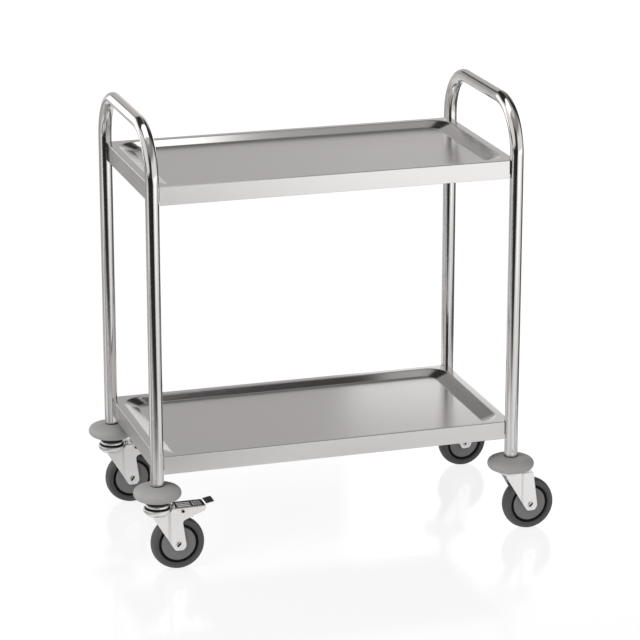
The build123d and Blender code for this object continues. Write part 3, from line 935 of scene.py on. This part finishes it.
def axle_pieces():
    """The axle: a domed head with a slanted slot on one side, painted inside with shade, and the nut on the
    other.
    """
    centre = (TRAIL, 0, AXLE_Z)
    dome = [(6.6, -0.2), (6.6, 0.8), (6.2, 1.6), (5.0, 2.3), (3.0, 2.7), (1.0, 2.8)]
    rings = [(r, -LEG_OUT - h) for r, h in dome]
    bolt = smooth(turned("axle_head", rings, "Y", centre, 48, True))
    slot_at = Vector((TRAIL - 1.2, -LEG_OUT - 2.2, AXLE_Z + 1.2))
    slot_long, slot_deep, slot_wide = 9.0, 2.6, 3.6
    slot = box("slot_cutter", slot_at, (slot_long, slot_deep, slot_wide), rotation=(0, radians(-45), 0))
    close()
    modify(bolt, "BOOLEAN", operation="DIFFERENCE", object=slot, solver="EXACT")
    bpy.data.objects.remove(slot)

    def in_shaded_slot(face):
        at = middle(face) - slot_at
        along, across = abs(at.x + at.z) / sqrt(2), abs(at.x - at.z) / sqrt(2)
        within = along < slot_long / 2 + 0.02 and across < slot_wide / 2 + 0.02
        return within and -0.4 < at.y < slot_deep / 2 + 0.05

    # The slot's inside is painted shade.
    paint(bolt, "fastener_steel", "shadow_gap", in_shaded_slot)
    shank_r, nut_r, nut_top = 4.0, 6.9, LEG_OUT + 4.5
    sides = [(shank_r, LEG_OUT), (nut_r, LEG_OUT), (nut_r, nut_top - 0.4)]
    nut = turned("axle_nut", sides + [(nut_r - 0.7, nut_top), (shank_r, nut_top)], "Y", centre, 6)
    shank = [(shank_r, -LEG_OUT), (shank_r, nut_top - 0.2), (shank_r - 0.4, nut_top + 0.1)]
    end = turned("axle_end", shank, "Y", centre, 32, True)
    for piece in (nut, end):
        paint(piece, "fastener_steel")
    return join("axle_model", [bolt, smooth(nut, 0.3), smooth(end)])


def wheel_centre():
    """The wheel's moulded centre: hub, dished disc and a groove beside the tyre, painted with shade."""
    centre = (TRAIL, 0, AXLE_Z)
    hub_half, disc_half = 15.0, 9.8
    hub = [(9.1, hub_half), (12.4, hub_half), (13.0, 14.5), (13.4, 13.6), (16.0, 11.6), (17.0, 11.3)]
    disc = [(DISC_R - 1.6, 10.6), (DISC_R - 0.8, 10.4), (DISC_R, disc_half), (DISC_R, GROOVE_HALF)]
    rings = both_sides(hub + disc + [(TYRE_INNER_R, GROOVE_HALF)]) + [hub[0]]
    core = smooth(turned("core_model", rings, "Y", centre, 96))

    def in_shaded_wheel_groove(face):
        at = middle(face) - Vector(centre)
        return hypot(at.x, at.z) > DISC_R - 2 * SLACK and abs(at.y) < disc_half + SLACK

    # The groove beside the tyre is painted shade.
    paint(core, "core_plastic", "shadow_gap", in_shaded_wheel_groove)
    return core


def tyre_ring():
    """A solid tyre: crowned tread, round shoulders and a bead line on each side."""
    radius = sizes().wheel_radius / MM
    tread_half, tread_drop, bead_half = 9.5, 2.2, 12.0
    edge = (radius - tread_drop, tread_half)
    flank = (radius - 6.0, 13.2)
    side = Vector((flank[0] - TYRE_INNER_R, flank[1] - bead_half)).normalized()
    shoulder = tangent_arc(flank, side, edge, 8)
    tread_r = (tread_half**2 + tread_drop**2) / (2 * tread_drop)
    sweep = degrees(atan2(tread_half, tread_r - tread_drop))
    tread = arc((radius - tread_r, 0.0), tread_r, sweep, 0.0, 8)
    bead = [(TYRE_INNER_R, 0.0), (TYRE_INNER_R, bead_half - 0.6), (TYRE_INNER_R + 0.5, bead_half)]
    line = [(39.6, 12.5), (39.9, 12.2), (40.3, 12.2), (40.6, 12.65)]
    half = bead + line + shoulder[:-1] + tread
    rings = half + [(r, -h) for r, h in reversed(half[:-1])]
    return smooth(turned("tyre_model", rings, "Y", (TRAIL, 0, AXLE_Z), 128))


def pedal_tread():
    """The pedal's flat top, cut round the crown, with a raised tip behind a step."""
    corner = sqrt(PEDAL_CLEAR_R**2 - PEDAL_HALF**2)
    turn = degrees(atan2(PEDAL_HALF, corner))
    moves = [(ARM_END, -PEDAL_HALF), (ARM_END, PEDAL_HALF), (corner, PEDAL_HALF), (0, 0, -2 * turn)]
    tread = sketch("pedal_model", (corner, -PEDAL_HALF), moves, level_plane(PEDAL_TOP))
    pick("EDGE", lambda e: all(v.co.x > (ARM_END - SLACK) * MM for v in e.verts))
    extrude(point(*TIP_STEP))
    narrow = (1, TIP_HALF / PEDAL_HALF, 1)
    bpy.ops.transform.resize(value=narrow, center_override=point(ARM_END, 0, PEDAL_TOP))
    rise = radians(TIP_ANGLE)
    tip = TIP_LENGTH * Vector((cos(rise), 0, sin(rise)))
    extrude(tip * MM)
    end = Vector((ARM_END, 0, PEDAL_TOP)) + Vector(TIP_STEP) + tip
    for side in (-1, 1):
        round_corner((end.x, side * TIP_HALF, end.z), 3.0, 5)
    thicken(tread, PEDAL_TOP - PEDAL_LOW, (0, 0, 1))
    return smooth(tread, 0.35)


def pedal_cheek():
    """A cheek under the pedal's edge, with an eye round the pivot, on the side of -Y."""
    eye_r, front, rear, top = 5.5, 30.0, 60.0, PEDAL_TOP - 0.5
    first = touch((front, PEDAL_LOW), PIVOT, eye_r, 1)
    last = touch((rear, PEDAL_LOW), PIVOT, eye_r, -1)
    moves = [(front, PEDAL_LOW), on_circle(PIVOT, eye_r, first), (*PIVOT, (last - first) % 360)]
    moves += [(rear, PEDAL_LOW), (rear, top), (front, top)]
    cheek = sketch("cheek_model", (front, top), moves, side_plane(-PEDAL_HALF))
    thicken(cheek, PEDAL_TOP - PEDAL_LOW, (0, -1, 0))
    return smooth(cheek, 0.3)


def front_lip():
    """The upright lip at the pedal's front, with round upper corners."""
    x, low, top = PEDAL_CLEAR_R, PEDAL_LOW + 0.3, PEDAL_TOP + LIP_H
    moves = [(LIP_HALF, low), (LIP_HALF, top), (-LIP_HALF, top), (-LIP_HALF, low)]
    lip = sketch("lip_model", moves[-1], moves, lambda u, v: point(x, u, v))
    for side in (-1, 1):
        round_corner((x, side * LIP_HALF, top), 3.0)
    block_up(point(PEDAL_TOP - PEDAL_LOW, 0, 0))
    return smooth(lip, 0.5)


def tread_ribs():
    """Low pressed ribs on the pedal: long ones in front and short ones across the rear."""
    height, sunk = 1.4, 0.4
    along = [(48.0, y, 24.0, 3.4) for y in (-8.0, 0.0, 8.0)]
    across = [(66.0 + 4.2 * i, 0.0, 2.2, 18.0) for i in range(4)]
    ribs = []
    for x, y, length_x, length_y in along + across:
        rib = box("rib_model", (x, y, PEDAL_TOP + height / 2 - sunk), (length_x, length_y, height))
        pick("FACE", lambda f: f.normal.z > 0.9)
        bpy.ops.mesh.inset(thickness=0.7 * MM)
        close()
        ribs.append(smooth(rib, 0.6, 3))
    return ribs


def pedal_lever():
    """The pedal: a tread with ribs, two cheeks on the pivot and a lip in front."""
    tread = pedal_tread()
    cheek = pedal_cheek()
    return join("pedal_model", [tread, cheek, mirrored(cheek), front_lip(), *tread_ribs()])


def rivet_pin():
    """The pedal's pivot: a rivet with a dished head on each side, painted with shade in the middle of the
    dish.
    """
    centre = (PIVOT[0], 0, PIVOT[1])
    dish_r = 2.8
    dish = [(1.0, 0.1), (dish_r - 0.2, 0.2), (dish_r, 1.2)]
    head = dish + [(3.3, 1.5), (4.0, 1.3), (4.5, 0.7), (4.7, 0.0), (2.5, 0.0)]
    rings = both_sides([(r, LEG_OUT + h) for r, h in head])
    rivet = smooth(turned("rivet_model", rings, "Y", centre, 40, True))

    def in_shaded_dish(face):
        at = middle(face) - Vector(centre)
        return hypot(at.x, at.z) < dish_r - 0.05 and abs(at.y) > LEG_OUT + 0.05

    # The middle of each dish is painted shade.
    paint(rivet, "fastener_steel", "shadow_gap", in_shaded_dish)
    return rivet


def shoe_block():
    """The block under the pedal, hollow to the tyre's curve."""
    gap, front, rear, half = 5.6, 50.0, 64.0, 9.0
    hollow = sizes().wheel_radius / MM + gap
    low_front = AXLE_Z + sqrt(hollow**2 - (front - TRAIL)**2)
    low_rear = AXLE_Z + sqrt(hollow**2 - (rear - TRAIL)**2)
    first = degrees(atan2(low_front - AXLE_Z, front - TRAIL))
    last = degrees(atan2(low_rear - AXLE_Z, rear - TRAIL))
    moves = [(front, low_front), (TRAIL, AXLE_Z, last - first), (rear, PEDAL_LOW), (front, PEDAL_LOW)]
    block = sketch("shoe_model", (front, PEDAL_LOW), moves, side_plane(-half))
    block_up(point(0, 2 * half, 0))
    return smooth(block, 0.6)


def small_screw():
    """A pan-head screw with a recess, facing +Y, in a leg's end."""
    shank_r, head_r, inner_end, face = 1.6, 3.0, 6.0, 12.3
    head = [(head_r, 0.0), (head_r, 0.5), (2.7, 1.0), (1.9, 1.35), (1.2, 1.4), (1.0, 0.7)]
    rings = [(shank_r, inner_end), (shank_r, face)] + [(r, face + h) for r, h in head]
    return smooth(turned("lock_screw_model", rings, "Y", (0, 0, 0), 32, True))


def spread(model, slot, body, node, names=tuple(CASTERS), lift=0.0, turns=True):
    """Puts a copy of a caster's piece at each leg, then drops the model."""
    for name in names:
        x, y = post(name)
        raised = lift if name in BRAKED else 0.0
        copy = copy_to(model, f"{name}_{node}_piece", (x, y, raised), CASTERS[name][2] if turns else 0.0)
        settle(copy, body.format(name), slot, f"{name}_{node}")
    bpy.data.objects.remove(model)


# Stage

def floor_finish():
    """A white floor with a slight gloss. What stands on it mirrors a dimmer one, brighter to the right."""
    finish = Finish("studio_floor", roughness=0.12, specular_ior_level=0.35)
    finish.feed(finish.shader, {"Emission Strength": 1.0})
    x, y = (finish.part(finish.place(), axis) for axis in "XY")
    seen = finish.node("LightPath", output="Is Camera Ray")
    front_right = finish.ramp(x, 0.2, 1.1) * finish.ramp(y, -1.2, -2.0)
    dim = 0.30 + (finish.ramp(x, -0.2, 0.7) * 0.15 + front_right * 0.50)
    white = 0.84
    cloud = finish.noise(1.2, detail=2.0) * 0.02
    return finish.done(
        base_color=finish.tint(seen + cloud, colours().floor, 0.80, 0.14),
        emission_color=finish.blend(dim + seen * (white - dim), (0.0, 0.0, 0.0), (1.0, 1.0, 1.0)),
    )


def soft_box(name, place, aim, width, height, radiance, mirrored_too):
    """An area lamp of an even brightness that points at a place. Some give light without being mirrored."""
    light = bpy.data.lights.new(name, "AREA")
    light.shape = "RECTANGLE"
    light.size = width
    light.size_y = height
    light.energy = radiance * pi * width * height
    lamp = bpy.data.objects.new(name, light)
    lamp.location = place
    lamp.rotation_euler = (Vector(aim) - Vector(place)).to_track_quat("-Z", "Y").to_euler()
    lamp.visible_camera = False
    lamp.visible_glossy = mirrored_too
    bpy.context.scene.collection.objects.link(lamp)


def dark_flag(name, low, high, density, fades):
    """A dark card flat over the floor that only reflections see. It fades in along X or Y."""
    piece = start(name, "plane", size=1.0)
    bpy.ops.transform.resize(value=(high[0] - low[0], high[1] - low[1], 1.0))
    bpy.ops.transform.translate(value=((low[0] + high[0]) / 2, (low[1] + high[1]) / 2, CARD_Z))
    bpy.ops.object.mode_set(mode="OBJECT")
    finish = Finish(name, roughness=1.0, base_color=(0.004, 0.004, 0.004, 1.0), specular_ior_level=0.0)
    share = density * (1 - finish.node("NewGeometry", output="Backfacing"))
    for axis, begin, end in fades:
        share = finish.ramp(finish.part(finish.place(), axis), begin, end) * share
    clear = finish.node("BsdfTransparent")
    card = Value(finish, finish.shader.outputs[0])
    mixed = finish.node("MixShader", {0: share, 1: clear, 2: card})
    finish.feed(finish.tree.nodes["Material Output"], {"Surface": mixed})
    piece.data.materials.append(finish.material)
    piece.visible_camera = piece.visible_diffuse = piece.visible_shadow = False


def studio_world(scene):
    """A studio: a pale backdrop with a dark seam behind, white on the left, and a dark band in front."""
    scene.world = bpy.data.worlds.new("studio")
    scene.world.use_nodes = True
    sky = Nodes(scene.world.node_tree)
    way = sky.node("TexCoord", output="Generated")
    x, y, z = (sky.part(way, axis) for axis in "XYZ")
    back = sky.ramp(y, -0.25, 0.25)
    seam = sky.band(x, -0.34, -0.26, -0.16, -0.10) * sky.ramp(z, 0.22, 0.30)
    paper = (0.565 - sky.ramp(x, 0.05, -0.35) * 0.12) * (1 - seam * 0.85) * sky.ramp(x * x, 0.60, 0.40)
    backdrop = back * sky.ramp(z, 0.53, 0.40) * paper
    low_panel = sky.band(z, 0.045, 0.075, 0.15, 0.20) * sky.band(x, 0.24, 0.33, 0.50, 0.60)
    dark_front = sky.band(x, -0.95, -0.80, -0.15, 0.05)
    front = (1 - back) * (sky.ramp(z, 0.50, 0.80) * 0.34 + sky.ramp(z, 0.75, 0.35) * (1 - dark_front))
    left = sky.ramp(x, -0.60, -0.74) * sky.ramp(z, 0.02, 0.12)
    strip = sky.band(x, 0.17, 0.21, 0.34, 0.39) * sky.band(z, 0.42, 0.50, 0.88, 0.93)
    above = sky.ramp(z, 0.88, 0.93) * 0.36 + back * strip * 0.27
    dark, white = 0.03, 1.05
    level = (dark + above + backdrop + back * low_panel * 0.60 + front) * (1 - left) + left
    seen = sky.node("LightPath", output="Is Camera Ray")
    strength = level + seen * (white - level)
    sky.feed(sky.tree.nodes["Background"], {"Color": (1.0, 0.975, 0.965, 1.0), "Strength": strength})


# Operators

class TROLLEY_OT_frame_tubes(bpy.types.Operator):
    """Models the two bent end frames"""

    bl_idname = "trolley.frame_tubes"
    bl_label = "Frame Tubes"

    def execute(self, context):
        for side, side_x in (("left", -1), ("right", 1)):
            piece = frame_tube(f"{side}_bent_tube", side_x)
            paint(piece, "polished_tube")
            settle(piece, "frame", "polished_tube", f"{side}_frame_tube")
        return {"FINISHED"}


class TROLLEY_OT_trays(bpy.types.Operator):
    """Models the two pressed trays"""

    bl_idname = "trolley.trays"
    bl_label = "Trays"

    def execute(self, context):
        for level, rim_z in RIMS.items():
            piece = tray_sheet(f"{level}_pressed_tray", rim_z)
            settle(piece, "frame", "satin_sheet", f"{level}_tray")
        return {"FINISHED"}


class TROLLEY_OT_feet(bpy.types.Operator):
    """Models the bumpers, plugs, necks and caps on the legs"""

    bl_idname = "trolley.feet"
    bl_label = "Leg Feet"

    def execute(self, context):
        legs = tuple(CASTERS)
        # Each piece's model, slot, node, legs, lift, and the height below which it is painted shade: the
        # plug flange's foot on the bumper and the cap's lower band; 0.0 paints none.
        pieces = (
            (bumper_disc(), "bumper_rubber", "bumper", legs, SPACER_H, 0.0),
            (tube_plug_ring(), "plug_flange", "tube_plug", legs, SPACER_H, LEG_END - 0.8),
            (spacer_neck(), "spacer_plastic", "spacer", BRAKED, 0.0, 0.0),
            (cap_ring(), "zinc_steel", "head_cap", legs, 0.0, CAP_LOW + CAP_SHADE_H + 0.02),
        )
        for model, slot, node, names, lift, painted_shade_top in pieces:
            paint(model, slot, "shadow_gap", lambda f: middle(f).z < painted_shade_top)
            spread(model, slot, "frame", node, names, lift, False)
        return {"FINISHED"}


class TROLLEY_OT_lock_screws(bpy.types.Operator):
    """Models the small screws that hold the plugs"""

    bl_idname = "trolley.lock_screws"
    bl_label = "Lock Screws"

    def execute(self, context):
        model = small_screw()
        paint(model, "fastener_steel")
        copies = []
        for name, (side_x, _, _) in CASTERS.items():
            x, y = post(name)
            lift, turn = (SPACER_H, 0.0) if side_x < 0 else (0.0, 180.0)
            place = (x, y, LEG_END + SCREW_RISE + lift)
            copies.append(copy_to(model, f"{name}_lock_screw", place, turn))
        bpy.data.objects.remove(model)
        settle(join("lock_screw_set", copies), "frame", "fastener_steel", "lock_screws")
        return {"FINISHED"}


class TROLLEY_OT_forks(bpy.types.Operator):
    """Models the braked and the plain forks"""

    bl_idname = "trolley.forks"
    bl_label = "Forks"

    def execute(self, context):
        plain = tuple(name for name in CASTERS if name not in BRAKED)
        for braked, names in ((True, BRAKED), (False, plain)):
            spread(fork_model(braked), "zinc_steel", "{}_swivel", "fork", names)
        return {"FINISHED"}


class TROLLEY_OT_wheels(bpy.types.Operator):
    """Models the tyres, wheel centres and axle bolts"""

    bl_idname = "trolley.wheels"
    bl_label = "Wheels"

    def execute(self, context):
        tyre = tyre_ring()
        paint(tyre, "tyre_rubber")
        spread(tyre, "tyre_rubber", "{}_wheel", "tyre")
        spread(wheel_centre(), "core_plastic", "{}_wheel", "wheel_core")
        spread(axle_pieces(), "fastener_steel", "{}_swivel", "axle_bolt")
        return {"FINISHED"}


class TROLLEY_OT_brakes(bpy.types.Operator):
    """Models the pedals, their shoes and their pivots"""

    bl_idname = "trolley.brakes"
    bl_label = "Brakes"

    def execute(self, context):
        pedal, shoe = pedal_lever(), shoe_block()
        paint(pedal, "pedal_steel")
        paint(shoe, "shoe_rubber")
        spread(pedal, "zinc_steel", "{}_pedal", "brake_pedal", BRAKED)
        spread(shoe, "shoe_rubber", "{}_pedal", "brake_shoe", BRAKED)
        spread(rivet_pin(), "fastener_steel", "{}_swivel", "pivot_pin", BRAKED)
        return {"FINISHED"}


class TROLLEY_OT_inner_parts(bpy.types.Operator):
    """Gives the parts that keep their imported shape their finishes"""

    bl_idname = "trolley.inner_parts"
    bl_label = "Inner Parts"

    def execute(self, context):
        kept = {
            "corner_brackets": "bracket_steel",
            "bracket_screws": "fastener_steel",
            "threaded_inserts": "fastener_steel",
            "stem_bolts": "fastener_steel",
        }
        for name in CASTERS:
            kept[f"{name}_swivel_balls"] = "fastener_steel"
            kept[f"{name}_axle_sleeve"] = "fastener_steel"
            kept[f"{name}_wheel_bush"] = "bush_plastic"
        for node, slot in kept.items():
            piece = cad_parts[node]
            for holder in piece.material_slots:
                holder.material = finish_of(slot)
        return {"FINISHED"}


class TROLLEY_OT_stage(bpy.types.Operator):
    """Adds the camera, the floor and the studio light"""

    bl_idname = "trolley.stage"
    bl_label = "Stage"

    def execute(self, context):
        scene = context.scene
        camera = bpy.data.cameras.new("camera")
        camera.sensor_width = CAMERA_SENSOR
        camera.lens = CAMERA_LENS
        camera.clip_end = CAMERA_REACH
        viewer = bpy.data.objects.new("camera", camera)
        viewer.location = CAMERA_PLACE
        viewer.rotation_euler = (radians(CAMERA_TILT), 0.0, radians(CAMERA_TURN))
        scene.collection.objects.link(viewer)
        scene.camera = viewer
        scene.view_settings.view_transform = "Standard"
        floor = start("floor", "plane", size=FLOOR_SIZE)
        bpy.ops.object.mode_set(mode="OBJECT")
        floor.data.materials.append(floor_finish())
        studio_world(scene)
        for card in CARDS:
            dark_flag(*card)
        for lamp in SOFT_BOXES:
            soft_box(*lamp)
        return {"FINISHED"}


class TROLLEY_PT_panel(bpy.types.Panel):
    """Lists the pieces of the trolley, its sizes and its colours"""

    bl_idname = "TROLLEY_PT_panel"
    bl_label = "Serving Trolley"
    bl_space_type = "VIEW_3D"
    bl_region_type = "UI"
    bl_category = "Trolley"

    def draw(self, context):
        for group in (context.scene.trolley_sizes, context.scene.trolley_colours):
            for key in group.__annotations__:
                self.layout.prop(group, key)
        for operator in OPERATORS:
            self.layout.operator(operator.bl_idname)


OPERATORS = (
    TROLLEY_OT_stage,
    TROLLEY_OT_frame_tubes,
    TROLLEY_OT_trays,
    TROLLEY_OT_feet,
    TROLLEY_OT_lock_screws,
    TROLLEY_OT_forks,
    TROLLEY_OT_wheels,
    TROLLEY_OT_brakes,
    TROLLEY_OT_inner_parts,
)
CLASSES = (TrolleySizes, TrolleyColours, *OPERATORS, TROLLEY_PT_panel)


def register():
    for cls in CLASSES:
        bpy.utils.register_class(cls)
    bpy.types.Scene.trolley_sizes = bpy.props.PointerProperty(type=TrolleySizes)
    bpy.types.Scene.trolley_colours = bpy.props.PointerProperty(type=TrolleyColours)


def unregister():
    del bpy.types.Scene.trolley_colours
    del bpy.types.Scene.trolley_sizes
    for cls in reversed(CLASSES):
        bpy.utils.unregister_class(cls)


def main():
    register()
    for operator in OPERATORS:
        group, action = operator.bl_idname.split(".")
        getattr(getattr(bpy.ops, group), action)()


if __name__ == "__main__":
    main()
